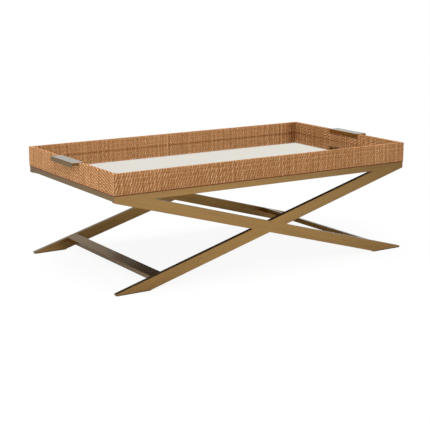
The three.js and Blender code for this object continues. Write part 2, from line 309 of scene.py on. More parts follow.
def makeBrass(name, look):
    material, tree, shader = newSurface(
        name, Metallic=1, Specular_Tint=look["edgeTint"],
        Coat_Weight=look["coat"], Coat_Roughness=look["coatRoughness"],
    )
    brush = useGroup(tree, fibres, namedMap(tree, "brush"), **look["brush"])
    streaks = useGroup(tree, fibres, namedMap(tree, "brush"), **look["streaks"])
    patches = useGroup(tree, clouds, objectPoints(tree), Scale=look["patchScale"])
    edgeWearAndHighlight = addNode(tree, "ShaderNodeAttribute", attribute_name="edgeWearAndHighlight")
    inPatches = multiply(tree, patches.outputs["Mask"], 1 - look["streakShare"])
    age = addMath(tree, "MULTIPLY_ADD", streaks.outputs["Mask"], look["streakShare"], inPatches)
    aged = addMix(tree, age, look["face"], look["patina"])
    brushed = addMix(tree, multiply(tree, brush.outputs["Mask"], look["brushAmount"]), aged, look["patina"])
    # the rounded edges painted lighter, as edge wear and painted highlight
    edgeWearAndHighlightShare = multiply(tree, edgeWearAndHighlight.outputs["Fac"], look["edgeWearAndHighlightAmount"])
    finishMaterial(
        tree, shader,
        Base_Color=addMix(tree, edgeWearAndHighlightShare, brushed, look["edgeWearAndHighlight"]),
        Roughness=addRange(tree, brush.outputs["Mask"], 0, 1, *look["roughness"]),
        Normal=addBump(tree, brush.outputs["Height"], *look["bump"]),
    )
    return material


mirrorLook = {
    "clear": (0.95, 0.95, 0.94, 1),
    "smudged": (0.92, 0.92, 0.91, 1),
    "smudgeScale": 7,
    "roughness": (0.035, 0.055),
}


def makeMirror(name, look):
    material, tree, shader = newSurface(name, Metallic=1)
    smudge = useGroup(tree, clouds, objectPoints(tree), Scale=look["smudgeScale"]).outputs["Mask"]
    finishMaterial(
        tree, shader,
        Base_Color=addMix(tree, smudge, look["clear"], look["smudged"]),
        Roughness=addRange(tree, smudge, 0, 1, *look["roughness"]),
    )
    return material


woodLook = {
    "light": colour(120, 82, 52),
    "dark": colour(66, 40, 24),
    "grain": {"Across": 420, "Along": 9},
    "rings": {"Across": 46, "Along": 1.6},
    "grainShare": 0.45,
    "roughness": (0.5, 0.75),
    "bump": (0.3, 0.0004),
}
# the bottom panel's wood, made nearly black
nearBlackLook = {**woodLook, "light": colour(34, 25, 18), "dark": colour(17, 12, 9)}


def makeWood(name, look, turned):
    # the grain runs along X, or along Y where it is turned
    material, tree, shader = newSurface(name)
    turn = (0, 0, math.radians(0 if turned else 90))
    place = setInputs(addNode(tree, "ShaderNodeMapping"), Vector=objectPoints(tree), Rotation=turn)
    grain = useGroup(tree, fibres, place.outputs["Vector"], **look["grain"])
    rings = useGroup(tree, fibres, place.outputs["Vector"], **look["rings"])
    byRings = multiply(tree, rings.outputs["Mask"], 1 - look["grainShare"])
    shade = addMath(tree, "MULTIPLY_ADD", grain.outputs["Mask"], look["grainShare"], byRings)
    finishMaterial(
        tree, shader,
        Base_Color=addRamp(tree, [(0, look["light"]), (1, look["dark"])], shade),
        Roughness=addRange(tree, shade, 0, 1, *look["roughness"]),
        Normal=addBump(tree, grain.outputs["Height"], *look["bump"]),
    )
    return material


feltLook = {
    "tones": (colour(92, 60, 38), colour(64, 38, 22)),
    "scale": 2400,
    "roughness": (0.85, 1),
    "bump": (0.5, 0.0003),
    "sheen": 0.3,
}
glideLook = {
    "tones": (colour(44, 38, 34), colour(30, 25, 22)),
    "scale": 1800,
    "roughness": (0.45, 0.65),
    "bump": (0.5, 0.00005),
    "sheen": 0,
}
backingLook = {
    "tones": (colour(134, 68, 36), colour(96, 46, 22)),
    "scale": 900,
    "roughness": (0.8, 0.95),
    "bump": (0.5, 0.0002),
    "sheen": 0,
}
speckleTexture = {"noise": {"Detail": 3, "Roughness": 0.7}, "tonesAt": (0.35, 0.65), "span": (0.3, 0.7)}


def makeSpeckled(name, look, texture):
    # felt, moulded plastic and the cloth behind the weave
    material, tree, shader = newSurface(name, Sheen_Weight=look["sheen"])
    speckle = addNoise(tree, objectPoints(tree), Scale=look["scale"], **texture["noise"])
    finishMaterial(
        tree, shader,
        Base_Color=addRamp(tree, list(zip(texture["tonesAt"], look["tones"])), speckle),
        Roughness=addRange(tree, speckle, *texture["span"], *look["roughness"]),
        Normal=addBump(tree, speckle, *look["bump"]),
    )
    return material


raffia = makeRaffia("raffia", raffiaLook)
brass = makeBrass("antiqueBrass", brassLook)
handledBrass = makeBrass("handledBrass", handledLook)
mirror = makeMirror("mirrorGlass", mirrorLook)
woodLong = makeWood("boardWood", woodLook, False)
nearBlackPanel = makeWood("nearBlackPanel", nearBlackLook, False)
woodAcross = makeWood("boardWoodAcross", woodLook, True)
felt = makeSpeckled("felt", feltLook, speckleTexture)
glidePlastic = makeSpeckled("glidePlastic", glideLook, speckleTexture)
backing = makeSpeckled("weaveBacking", backingLook, speckleTexture)
print("materials ready")


# Mesh helpers

meshFinish = {
    "smoothBelow": 35,  # degrees
    "sharpAbove": 25,
    "flatBelow": 1,
    "mergeWithin": 1e-6,  # metres
    "endFace": 0.1,  # a face's normal runs along its tube where their cross product is shorter
    "alongAxis": 0.9,  # and a direction along an axis where its share of it is larger
}


def meshFrom(bm, name):
    mesh = bpy.data.meshes.new(name)
    bm.to_mesh(mesh)
    bm.free()
    return mesh


def finishMesh(bm, name, material, body):
    return finishObject(meshFrom(bm, name), name, material, body, meshFinish["smoothBelow"])


def finishObject(mesh, name, material, body, smoothAngle=None):
    # with a smooth angle, sharper edges stay sharp and flat faces flat
    piece = addObject(name, mesh)
    mesh.materials.append(material)
    mesh.shade_smooth()
    if smoothAngle is not None:
        mesh.set_sharp_from_angle(angle=math.radians(smoothAngle))
        flatter = piece.modifiers.new("flat faces stay flat", "WEIGHTED_NORMAL")
        flatter.keep_sharp = True
    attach(piece, body)
    return piece


def mergedCopy(node):
    # a CAD node's mesh is loose triangles, so its copy is merged and its flat faces are joined
    bm = bmesh.new()
    bm.from_mesh(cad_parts[node].data)
    bmesh.ops.remove_doubles(bm, verts=bm.verts, dist=meshFinish["mergeWithin"])
    flat = math.radians(meshFinish["flatBelow"])
    bmesh.ops.dissolve_limit(bm, angle_limit=flat, verts=bm.verts, edges=bm.edges)
    return bm


def newVerts(made):
    return [item for item in made["geom"] if isinstance(item, bmesh.types.BMVert)]


def openEdges(bm):
    return [edge for edge in bm.edges if edge.is_boundary]


def sharpEdges(bm, leastAngle=meshFinish["sharpAbove"]):
    least = math.radians(leastAngle)
    return [edge for edge in bm.edges if edge.is_manifold and edge.calc_face_angle() > least]


def roundEdges(bm, edges, shape):
    # rounds the edges and marks the rounded strips, which the brass paints lighter as edge wear and painted
    # highlight
    edgeWearAndHighlight = bm.verts.layers.float.new("edgeWearAndHighlight")
    made = bmesh.ops.bevel(
        bm, geom=edges, offset=shape["edgeRadius"], segments=shape["edgeSegments"], profile=0.5,
        affect="EDGES", clamp_overlap=True, material=-1,
    )
    for face in made["faces"]:
        for vert in face.verts:
            vert[edgeWearAndHighlight] = 1


def brushMap(bm, runsAlong):
    # a map in metres for brush lines, whose second axis runs along the tube that a face belongs to
    layer = bm.loops.layers.uv.new("brush")
    for face in bm.faces:
        along = runsAlong(face)
        across = face.normal.cross(along)
        if across.length < meshFinish["endFace"]:
            across = along.orthogonal()
        across.normalize()
        for loop in face.loops:
            loop[layer].uv = (loop.vert.co.dot(across), loop.vert.co.dot(along))


# Crossed frames: a top rail and two crossed legs, welded and ground flush

frameShape = {"edgeRadius": 0.0008, "edgeSegments": 3, "onPlane": 1e-5}


def legOutline(node, onPlane):
    # places in X and Z of the CAD leg's corners, from its outer face
    low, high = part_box(node)
    points = set()
    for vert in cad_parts[node].data.vertices:
        if abs(vert.co.y - low[1]) < onPlane:
            points.add((round(abs(vert.co.x), 6), round(vert.co.z, 6)))
    foot = sorted(x for x, z in points if abs(z - low[2]) < onPlane)
    top = sorted(x for x, z in points if abs(z - high[2]) < onPlane)
    half = (low[2] + high[2]) / 2
    toe = max(z for x, z in points if abs(x - foot[-1]) < onPlane and z < half)
    return {"heel": foot[0], "end": foot[-1], "floor": low[2], "top": high[2], "toe": toe, "shoulder": top[0]}


def crossedFrame(end, nodes, shape):
    rail, whole = nodes[:2]
    leg = legOutline(whole, shape["onPlane"])
    railLow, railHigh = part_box(rail)
    slope = (leg["top"] - leg["floor"]) / (leg["end"] + leg["heel"])
    lower = leg["top"] - slope * leg["end"]  # height at which the legs' lower edges cross
    upper = leg["top"] - slope * leg["shoulder"]  # and their upper edges
    centre = (lower + upper) / 2
    notch = (upper - lower) / (2 * slope)
    outline = {
        "notch": (notch, centre),
        "corner": (leg["end"], leg["top"]),
        "shoulder": (leg["shoulder"], leg["top"]),
        "railTop": (leg["end"], railHigh[2]),
        "heel": (leg["heel"], leg["floor"]),
        "toe": (leg["end"], leg["floor"]),
        "toeTop": (leg["end"], leg["toe"]),
    }
    bm = bmesh.new()
    corner = {key: bm.verts.new((0, railLow[1], z)) for key, z in (("low", lower), ("high", upper))}
    for side in (-1, 1):
        for key, (x, z) in outline.items():
            corner[key, side] = bm.verts.new((side * x, railLow[1], z))
    faces = [
        ["low", ("notch", 1), "high", ("notch", -1)],
        [("corner", -1), ("shoulder", -1), ("shoulder", 1), ("corner", 1), ("railTop", 1), ("railTop", -1)],
    ]
    for side in (-1, 1):
        faces.append([("corner", side), ("notch", side), "high", ("shoulder", side)])
        faces.append(["low", ("heel", side), ("toe", side), ("toeTop", side), ("notch", side)])
    for keys in faces:
        bm.faces.new([corner[key] for key in keys])
    made = bmesh.ops.extrude_face_region(bm, geom=bm.faces[:])
    bmesh.ops.translate(bm, verts=newVerts(made), vec=(0, railHigh[1] - railLow[1], 0))
    bmesh.ops.recalc_face_normals(bm, faces=bm.faces)
    roundEdges(bm, sharpEdges(bm), shape)

    def runsAlong(face):
        place = face.calc_center_median()
        if place.z > leg["top"]:
            return Vector((1, 0, 0))
        falls = abs(place.z - centre + slope * place.x)
        climbs = abs(place.z - centre - slope * place.x)
        return Vector((1, 0, -slope if falls <= climbs else slope)).normalized()

    brushMap(bm, runsAlong)
    piece = finishMesh(bm, f"{end}_crossed_frame", brass, "base")
    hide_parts(*nodes)


frameNodes = ("top_rail", "leg_whole", "leg_upper_half", "leg_lower_half", "left_rail_cap", "right_rail_cap")
for end in ("front", "rear"):
    crossedFrame(end, [f"{end}_{node}" for node in frameNodes], frameShape)
print("crossed frames made")


# End rails and stretchers: tubes across the table, with their long edges rounded

tubeShape = {"edgeRadius": 0.0008, "edgeSegments": 3}


def looksAlongY(direction):
    return abs(direction.y) > meshFinish["alongAxis"]


def faceLooksInside(face, low, high):
    # the faces of a tube's bore, which look at its middle, and its open ends
    offset = face.calc_center_median() - (Vector(low) + Vector(high)) / 2
    offset.y = 0
    return looksAlongY(face.normal) or face.normal.dot(offset) < 0


def crossTube(node, shape):
    bm = mergedCopy(node)
    low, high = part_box(node)
    inside = [face for face in bm.faces if faceLooksInside(face, low, high)]
    bmesh.ops.delete(bm, geom=inside, context="FACES")
    bmesh.ops.holes_fill(bm, edges=openEdges(bm))
    bmesh.ops.recalc_face_normals(bm, faces=bm.faces)
    long = [
        edge for edge in sharpEdges(bm)
        if looksAlongY((edge.verts[0].co - edge.verts[1].co).normalized())
    ]
    roundEdges(bm, long, shape)
    brushMap(bm, lambda face: Vector((0, 1, 0)))
    piece = finishMesh(bm, f"{node}_tube", brass, "base")
    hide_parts(node)


for node in ("left_end_rail", "right_end_rail", "left_stretcher", "right_stretcher"):
    crossTube(node, tubeShape)
print("end rails and stretchers made")


# Small blocks: foot glides and felt pads, with soft edges

glideShape = {"edgeRadius": 0.0006, "edgeSegments": 2}
padShape = {"edgeRadius": 0.0008, "edgeSegments": 2}


def softBlock(name, node, material, body, shape):
    bm = mergedCopy(node)
    roundEdges(bm, sharpEdges(bm), shape)
    piece = finishMesh(bm, name, material, body)
    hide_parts(node)


for corner in ("front_left", "front_right", "rear_left", "rear_right"):
    glide = f"{corner}_foot_glide"
    softBlock(f"{glide}_block", glide, glidePlastic, "base", glideShape)
    for where in ("wall", "end"):
        pad = f"{corner}_{where}_pad"
        softBlock(f"{pad}_felt", pad, felt, "tray", padShape)
print("glides and pads made")


# Boards, dowels and bottom panel keep their CAD shape

for node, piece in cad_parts.items():
    if node in ("front_wall_board", "rear_wall_board"):
        wood = woodLong
    elif node.endswith("_wall_board") or node.endswith("_dowel"):
        wood = woodAcross
    elif node == "tray_bottom_panel":
        wood = nearBlackPanel
    else:
        continue
    piece.data.materials.clear()
    piece.data.materials.append(wood)
print("boards, dowels and bottom panel given their wood")


# Mirror, with ground edges

mirrorShape = {"edgeRadius": 0.0004, "edgeSegments": 1}
softBlock("mirror_glass", "mirror_panel", mirror, "tray", mirrorShape)
print("mirror made")


# Handles: one plate, bent twice

handleShape = {
    "plate": 0.003,
    "bend": 0.0028,
    "bendSegments": 6,
    "edgeRadius": 0.0005,
    "edgeSegments": 2,
    "sharpAbove": 60,  # degrees, so that the bends aren't rounded again
}


def addHandle(node, shape):
    low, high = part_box(node)
    bm = bmesh.new()
    path = [(low[0], low[2]), (low[0], high[2]), (high[0], high[2]), (high[0], low[2])]
    verts = [bm.verts.new((x, low[1], z)) for x, z in path]
    for pair in zip(verts, verts[1:]):
        bm.edges.new(pair)
    bmesh.ops.bevel(
        bm, geom=verts[1:3], offset=shape["bend"], segments=shape["bendSegments"], profile=0.5,
        affect="VERTICES", material=-1,
    )
    made = bmesh.ops.extrude_edge_only(bm, edges=bm.edges[:])
    bmesh.ops.translate(bm, verts=newVerts(made), vec=(0, high[1] - low[1], 0))
    bmesh.ops.recalc_face_normals(bm, faces=bm.faces)
    bmesh.ops.solidify(bm, geom=bm.faces[:], thickness=shape["plate"])
    bmesh.ops.recalc_face_normals(bm, faces=bm.faces)
    roundEdges(bm, sharpEdges(bm, shape["sharpAbove"]), shape)
    brushMap(bm, lambda face: Vector((0, 1, 0)))
    piece = finishMesh(bm, f"{node}_plate", handledBrass, "tray")
    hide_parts(node)


for side in ("left", "right"):
    addHandle(f"{side}_handle", handleShape)
print("handles made")


# Handle screws: flat heads with a six-sided socket, on a plain shank

screwShape = {
    "proud": 0.0001,
    "sides": 24,
    "headDepth": 0.0018,
    "shankRadius": 0.0017,
    "shankShare": 0.9,  # of the length, before the point
    "tipRadius": 0.0003,
    "socketRadius": 0.0014,
    "socketSides": 6,
    "socketDepth": 0.0012,
}


def edgesBetween(bm, verts):
    return [edge for edge in bm.edges if all(vert in verts for vert in edge.verts)]


def addScrew(node, shape):
    # turned around Z with its head at 0, then laid into its place
    low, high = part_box(node)
    side = -1 if high[0] < 0 else 1
    headRadius = (high[2] - low[2]) / 2
    length = high[0] - low[0]
    shank = shape["shankRadius"]
    bm = bmesh.new()
    ring = bmesh.ops.create_circle(bm, segments=shape["sides"], radius=headRadius)["verts"]
    for radius, depth in ((shank, shape["headDepth"]), (shank, length * shape["shankShare"]),
                          (shape["tipRadius"], length)):
        ring = newVerts(bmesh.ops.extrude_edge_only(bm, edges=edgesBetween(bm, ring)))
        for vert in ring:
            flat = Vector((vert.co.x, vert.co.y)).normalized() * radius
            vert.co = (flat.x, flat.y, depth)
    bmesh.ops.holes_fill(bm, edges=[edge for edge in openEdges(bm) if edge.verts[0].co.z > 0])
    socket = bmesh.ops.create_circle(bm, segments=shape["socketSides"], radius=shape["socketRadius"])["verts"]
    bmesh.ops.bridge_loops(bm, edges=openEdges(bm))
    deep = newVerts(bmesh.ops.extrude_edge_only(bm, edges=edgesBetween(bm, socket)))
    bmesh.ops.translate(bm, verts=deep, vec=(0, 0, shape["socketDepth"]))
    bmesh.ops.holes_fill(bm, edges=openEdges(bm))
    bmesh.ops.recalc_face_normals(bm, faces=bm.faces)
    turn = Matrix.Rotation(math.radians(90 * side), 4, "Y")
    headX = (low[0] if side > 0 else high[0]) - side * shape["proud"]
    place = Matrix.Translation((headX, (low[1] + high[1]) / 2, (low[2] + high[2]) / 2))
    bmesh.ops.transform(bm, matrix=place @ turn, verts=bm.verts)
    brushMap(bm, lambda face: Vector((0, 0, 1)))
    piece = finishMesh(bm, f"{node}_turned", brass, "tray")
    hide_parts(node)


for side in ("left", "right"):
    for number in (1, 2, 3):
        addScrew(f"{side}_handle_screw_{number}", screwShape)
print("screws made")


# Weave: flat raffia strands up the outside, over the rim and down the inside of each wall,
# with flat threads across them. "run" is a place along a wall, "along" one along a strand's path.

weave = {
    "strandPitch": 0.0037,
    "threadPitch": 0.0044,
    "strandSize": (0.0034, 0.0005),  # width and thickness
    "threadSize": (0.0037, 0.0005),
    "sizeSpread": 0.14,
    "rowLength": 0.0025,
    "sink": 0.0010,  # the weave's middle lies this far inside the wall's faces
    "swing": 0.00045,  # and its strands go this far to both sides of it
    "rimRadius": 0.0024,
    "footRadius": 0.0012,
    "footAngle": -80,  # degrees, where a strand starts under the wall's edge
    "bendSteps": 8,
    "cornerGap": 0.0004,
    "seatGap": 0.0006,
    "mirrorLap": 0.0005,  # the weave ends this far below the mirror's face
    "mitreLap": 0.3,  # pitches by which a strand may miss the inner corner and still go down inside
    "threadLap": 0.2,  # the same for the threads' ends
    "lean": {"most": 0.0035, "wave": (7, 11), "start": (0, 6), "ripple": 0.5, "rippleWave": 2.7,
             "fade": 0.03},
    "sag": {"most": 0.0008, "wave": 9.3, "ripple": 23},
    "longTwill": (88, 36),  # slanting floats per metre along the wall and up it
    "endTwill": (33, 84),
    "floatEdge": 1.6,  # how steeply a float dives at its ends
    "drift": {"most": 1.1, "wave": 13, "ripple": 0.6, "rippleWave": 41, "rippleRise": 30},  # radians
    "shareSpread": {"most": 0.35, "wave": 29, "ripple": 67, "rise": 45},
    "insideFrom": 0.01,  # past the rim's outer edge, from where the inside's share holds
    "strandTone": (0.56, 0.11, 0.05, 0.28),  # mean, change per strand and per crossing, and painted light and shade from the lift of the floats
    "threadTone": (0.40, 0.09, 0.06, 0.08),
    "strandStreak": (-0.5, 0.25, 0.9, 0.25, -0.5),  # how a strand's own tone reaches its neighbours
    "threadStreak": (0, -0.45, 0.9, -0.45, 0),
    "seamShade": 0.26,  # painted shade along the seam at the mirror
    "seamReach": 0.0028,
    "backingDepth": 0.0015,
    "shadeStrip": 0.0026,  # the backing cloth hangs this far below the weave, a strip of painted shade in the gap above the rail
    "onFace": 0.0005,  # a corner of the wrap this near a face lies on it
    "seed": 7,
}

# twillShare: the share of slanting floats at the two ends of the outside, and on the inside
# liftShading: painted light and shade from the floats' lift, raised floats lighter and sunk ones darker
# toneBands: whether inside, middle and half width along the wall, and change of tone
wovenWalls = {
    "front_woven_wrap": {
        "lengthwise": True,
        "side": -1,
        "twillShare": (0.75, 0.25, 0.4),
        "liftShading": 1,
        "toneBands": [(False, 0.55, 0.12, 0.05), (True, 0.1, 0.2, -0.08)],
    },
    "rear_woven_wrap": {
        "lengthwise": True,
        "side": 1,
        "twillShare": (0.9, 0.4, 0.35),
        "liftShading": 1,
        # painted shade in the inner corner at the right end, and painted light over the whole middle of the
        # inside
        "toneBands": [(True, 0.655, 0.035, -0.3), (True, 0, 0.6, 0.06)],
    },
    "left_woven_wrap": {
        "lengthwise": False,
        "side": -1,
        "twillShare": (0.95, 0.8, 0.5),
        "liftShading": 1.22,
        "toneBands": [(False, 0.2, 0.25, 0.03)],
    },
    "right_woven_wrap": {
        "lengthwise": False,
        "side": 1,
        "twillShare": (0.7, 0.6, 0.6),
        "liftShading": 1.1,
        # painted shade on the inside
        "toneBands": [(True, 0.25, 0.25, -0.09)],
    },
}


def wallPath(wall, bottom, floor):
    # places along a strand: metres along it, metres in from the outer face, height, and the way out
    sink, rim, foot = wall["sink"], wall["rimRadius"], wall["footRadius"]
    steps = wall["bendSteps"]
    points = []

    def arc(centreIn, centreUp, radius, fromAngle, toAngle):
        for step in range(steps + 1):
            angle = math.radians(fromAngle + (toAngle - fromAngle) * step / steps)
            inwards, upwards = -math.cos(angle), math.sin(angle)
            points.append((centreIn + radius * inwards, centreUp + radius * upwards, inwards, upwards))

    arc(sink + foot, bottom + foot, foot, wall["footAngle"], 0)
    arc(sink + rim, wall["top"] - sink - rim, rim, 0, 90)
    arc(wall["thickness"] - sink - rim, wall["top"] - sink - rim, rim, 90, 180)
    points.append((wall["thickness"] - sink, floor, 1, 0))
    table = np.array(points)
    lengths = np.hypot(np.diff(table[:, 0]), np.diff(table[:, 1]))
    return np.column_stack([np.concatenate([[0], np.cumsum(lengths)]), table])


def onPath(path, along):
    values = [np.interp(along, path[:, 0], path[:, column]) for column in range(1, 5)]
    size = np.hypot(values[2], values[3])
    return values[0], values[1], values[2] / size, values[3] / size


def leanAt(wall, run, along):
    # the woven cloth was glued on by hand, so its strands don't stand quite upright
    lean = wall["lean"]
    wave = np.sin(run * wall["leanWave"] + wall["leanStart"])
    wave = wave + lean["ripple"] * np.sin(run * lean["rippleWave"] * wall["leanWave"])
    fade = np.clip((wall["halfRun"] - np.abs(run)) / lean["fade"], 0, 1)
    return lean["most"] * wave * fade * (along - wall["rimSpan"][0]) / wall["rimSpan"][0]


def sagAt(wall, run, along):
    sag = wall["sag"]
    wave = sag["most"] * np.sin(run * sag["wave"] + wall["leanStart"])
    return wave * np.sin(run * sag["ripple"] + 1) * np.sin(math.pi * along / wall["pathEnd"])


def liftAt(wall, run, along):
    # 1 where the strands lie over the threads, -1 where they lie under:
    # slanting floats that fade into a plain weave
    drift, spread, edge, start = wall["drift"], wall["shareSpread"], wall["floatEdge"], wall["leanStart"]
    ripple = np.sin(run * drift["rippleWave"] - along * drift["rippleRise"] + 2 * start)
    stray = drift["most"] * (np.sin(run * drift["wave"] + start) + drift["ripple"] * ripple)
    alongWall, upWall = wall["twill"]
    slant = np.cos(2 * math.pi * (alongWall * run - upWall * along) + stray)
    floats = np.tanh(edge * slant) / np.tanh(edge)
    overStrands = np.sin(math.pi * (run + wall["reach"]) / wall["strandPitch"])
    plain = overStrands * np.sin(math.pi * along / wall["threadPitch"])
    outerStart, outerEnd, inner = wall["twillShare"]
    share = outerStart + (outerEnd - outerStart) * ((run / wall["halfRun"] + 1) / 2) ** 2
    share = np.where(along > wall["rimSpan"][0] + wall["insideFrom"], inner, share)
    wave = spread["most"] * np.sin(run * spread["wave"] + 3 * start)
    share = np.clip(share + wave * np.sin(run * spread["ripple"] + along * spread["rise"]), 0, 1)
    return share * floats + (1 - share) * plain


def tubeCopies(name, count, rows):
    # one four-sided tube, cut into rows and repeated by an array; its corners are placed afterwards by row
    apart = 4  # in tube radii
    bm = bmesh.new()
    bmesh.ops.create_cone(bm, cap_ends=True, segments=4, radius1=1, radius2=1, depth=2)
    long = [edge for edge in bm.edges if abs(edge.verts[0].co.z - edge.verts[1].co.z) > 1]
    bmesh.ops.subdivide_edges(bm, edges=long, cuts=rows - 1, use_grid_fill=True)
    mesh = meshFrom(bm, name)
    maker = addObject(name + "_maker", mesh)
    repeat = maker.modifiers.new("repeat", "ARRAY")
    repeat.use_relative_offset = False
    repeat.use_constant_offset = True
    repeat.constant_offset_displace = (apart, 0, 0)
    repeat.count = count
    places = np.array([vert.co[:] for vert in mesh.vertices])
    finished = maker.evaluated_get(bpy.context.evaluated_depsgraph_get())
    copies = bpy.data.meshes.new_from_object(finished)
    bpy.data.objects.remove(maker)
    corner = np.round(np.arctan2(places[:, 1], places[:, 0]) / (math.pi / 2)).astype(int) % 4
    row = np.round((places[:, 2] + 1) / 2 * rows).astype(int)
    return copies, np.repeat(np.arange(count), len(places)), np.tile(row, count), np.tile(corner, count)


ribbonShape = {
    "sideways": (0.5, 0.24, -0.24, -0.5),  # wide below and narrower on top, in widths
    "upwards": (-0.5, 0.5, 0.5, -0.5),  # in thicknesses
    "shift": (0.0173, 0.37),  # metres by which the fibres of each ribbon are shifted
    "mapMargin": 0.05,
    "mapStart": 0.02,
    "mapLength": 0.94,
    "mapCaps": (-0.015, 0.02),
    "strandBanks": 4,  # the strands' strips lie in so many rows in the map
}


def ribbonCorner(corner, width, thickness, shape):
    return np.choose(corner, shape["sideways"]) * width, np.choose(corner, shape["upwards"]) * thickness


def readAll(collection, key):
    values = np.empty(len(collection), int)
    collection.foreach_get(key, values)
    return values


def addRibbonMaps(mesh, copy, row, corner, slots, metres, width, isThread, shape):
    # "fibre" holds metres across and along, and "OFBake" gives every ribbon a strip of its own
    starts = readAll(mesh.polygons, "loop_start")
    loopVert = readAll(mesh.loops, "vertex_index")
    face = np.repeat(np.arange(len(starts)), readAll(mesh.polygons, "loop_total"))
    turn = corner[loopVert].astype(float)
    rowOfLoop = row[loopVert]
    isSide = (np.minimum.reduceat(rowOfLoop, starts) != np.maximum.reduceat(rowOfLoop, starts))[face]
    turnHigh = np.maximum.reduceat(turn, starts)[face]
    turn[isSide & (turn == 0) & (turnHigh == 3)] = 4
    banks, perBank, firstSlot = slots
    slot = copy[loopVert] + firstSlot
    margin, (lowCap, highCap) = shape["mapMargin"], shape["mapCaps"]
    across = (slot % perBank + margin + (1 - 2 * margin) * turn / 4) / perBank
    caps = np.where(isSide, 0, np.where(rowOfLoop > 0, highCap, lowCap) * (corner[loopVert] % 2))
    along = (slot // perBank + shape["mapStart"] + shape["mapLength"] * rowOfLoop / row.max() + caps) / banks
    shiftAcross, shiftAlong = shape["shift"]
    maps = {
        "OFBake": [along, across] if isThread else [across, along],
        "fibre": [turn / 2 * width + slot * shiftAcross, metres[loopVert] + slot * shiftAlong],
    }
    for name, columns in maps.items():
        values = np.column_stack(columns).astype(np.float32)
        mesh.uv_layers.new(name=name).uv.foreach_set("vector", values.ravel())


def toneChangeAt(wall, run, along):
    # painted shade at the seam by the mirror, and broad bands darker or paler along the wall
    change = -wall["seamShade"] * np.exp(-((wall["pathEnd"] - along) / wall["seamReach"]) ** 2)
    for inside, middle, halfWidth, amount in wall["toneBands"]:
        onSide = (along > wall["rimSpan"][1]) == inside
        change = change + onSide * amount * np.exp(-((run - middle) / halfWidth) ** 2)
    return change


def paintRibbons(mesh, copy, crossing, lift, toneChange, tone, streak, draw):
    # red holds the tone, which changes from ribbon to ribbon and from crossing to crossing,
    # with painted light and shade from the floats' lift, and green a number of the ribbon's own
    mean, perRibbon, perCrossing, liftLightAndShade = tone
    ribbons = np.convolve(draw.normal(0, perRibbon, copy.max() + len(streak)), streak, "valid")[copy]
    crossings = draw.normal(0, perCrossing, (copy.max() + 1, crossing.max() + 1))[copy, crossing]
    values = np.ones((len(copy), 4), np.float32)
    values[:, 0] = np.clip(mean + ribbons + crossings + liftLightAndShade * lift + toneChange, 0, 1)
    values[:, 1] = draw.uniform(0, 1, copy.max() + 1)[copy]
    layer = mesh.attributes.new("strand", "FLOAT_COLOR", "POINT")
    layer.data.foreach_set("color", values.ravel())


def placeMesh(mesh, wall, run, into, up):
    # into is measured from the outer face
    across = wall["side"] * (wall["outer"] - into)
    places = (run, across, up) if wall["lengthwise"] else (across, run, up)
    mesh.vertices.foreach_set("co", np.column_stack(places).astype(np.float32).ravel())
    mesh.update()


def finishWeave(meshes, name, part):
    bm = bmesh.new()
    for mesh in meshes:
        bm.from_mesh(mesh)
    bmesh.ops.recalc_face_normals(bm, faces=bm.faces)
    whole = f"{name}_{part}"
    piece = finishObject(meshFrom(bm, whole), whole, raffia, "tray")
    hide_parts(name)


def layRibbons(tubes, wall, path, run, along, crossing, kind, slots, draw):
    # a strand is wide along the wall and a thread along the path
    mesh, copy, row, corner = tubes
    isThread = kind == "thread"
    width, thickness = wall[kind + "Size"]
    width = width * (1 + draw.uniform(-1, 1, copy.max() + 1)[copy] * wall["sizeSpread"])
    side, height = ribbonCorner(corner, width, thickness, ribbonShape)
    runSide, alongSide = (0, side) if isThread else (side, 0)
    lift = liftAt(wall, run, along) * (-1 if isThread else 1)
    bent = np.clip(along + sagAt(wall, run, along) + alongSide, 0, wall["pathEnd"])
    into, up, outIn, outUp = onPath(path, bent)
    out = wall["swing"] * lift + height
    placeMesh(mesh, wall, run + leanAt(wall, run, along) + runSide, into + outIn * out, up + outUp * out)
    # the floats' lift paints light and shade into the tone
    paintRibbons(mesh, copy, crossing, wall["liftShading"] * lift, toneChangeAt(wall, run, along),
                 wall[kind + "Tone"], wall[kind + "Streak"], draw)
    metres = run if isThread else along
    addRibbonMaps(mesh, copy, row, corner, slots, metres, width.mean(), isThread, ribbonShape)
    return mesh


def addStrands(name, wall, path, draw):
    rimStart, rimEnd = wall["rimSpan"]
    sink, rim, total = wall["sink"], wall["rimRadius"], wall["pathEnd"]
    run = (np.arange(wall["strands"]) + 0.5) * wall["strandPitch"] - wall["reach"]
    mitre = wall["halfRun"] - np.abs(run)
    reachesInside = mitre > wall["thickness"] - sink - wall["mitreLap"] * wall["strandPitch"]
    first = np.zeros(len(run))
    last = np.where(reachesInside, total, rimStart + np.clip(mitre - sink, 0, None))
    if wall["seat"]:  # a handle's seat cuts the strands under it in two
        under = np.abs(run) < wall["seat"]
        run = np.concatenate([run, run[under]])
        first = np.concatenate([first, np.full(under.sum(), rimEnd + rim)])
        last = np.concatenate([np.where(under, rimStart - rim, last), np.full(under.sum(), total)])
    number, rows = len(run), int(round(total / wall["rowLength"]))
    tubes = tubeCopies(name, number, rows)
    copy, row = tubes[1:3]
    along = first[copy] + (last - first)[copy] * row / rows
    crossing = np.round(along / wall["threadPitch"]).astype(int)
    banks = ribbonShape["strandBanks"]
    slots = (banks, math.ceil(number / banks), 0)
    mesh = layRibbons(tubes, wall, path, run[copy], along, crossing, "strand", slots, draw)
    finishWeave([mesh], name, "strands")


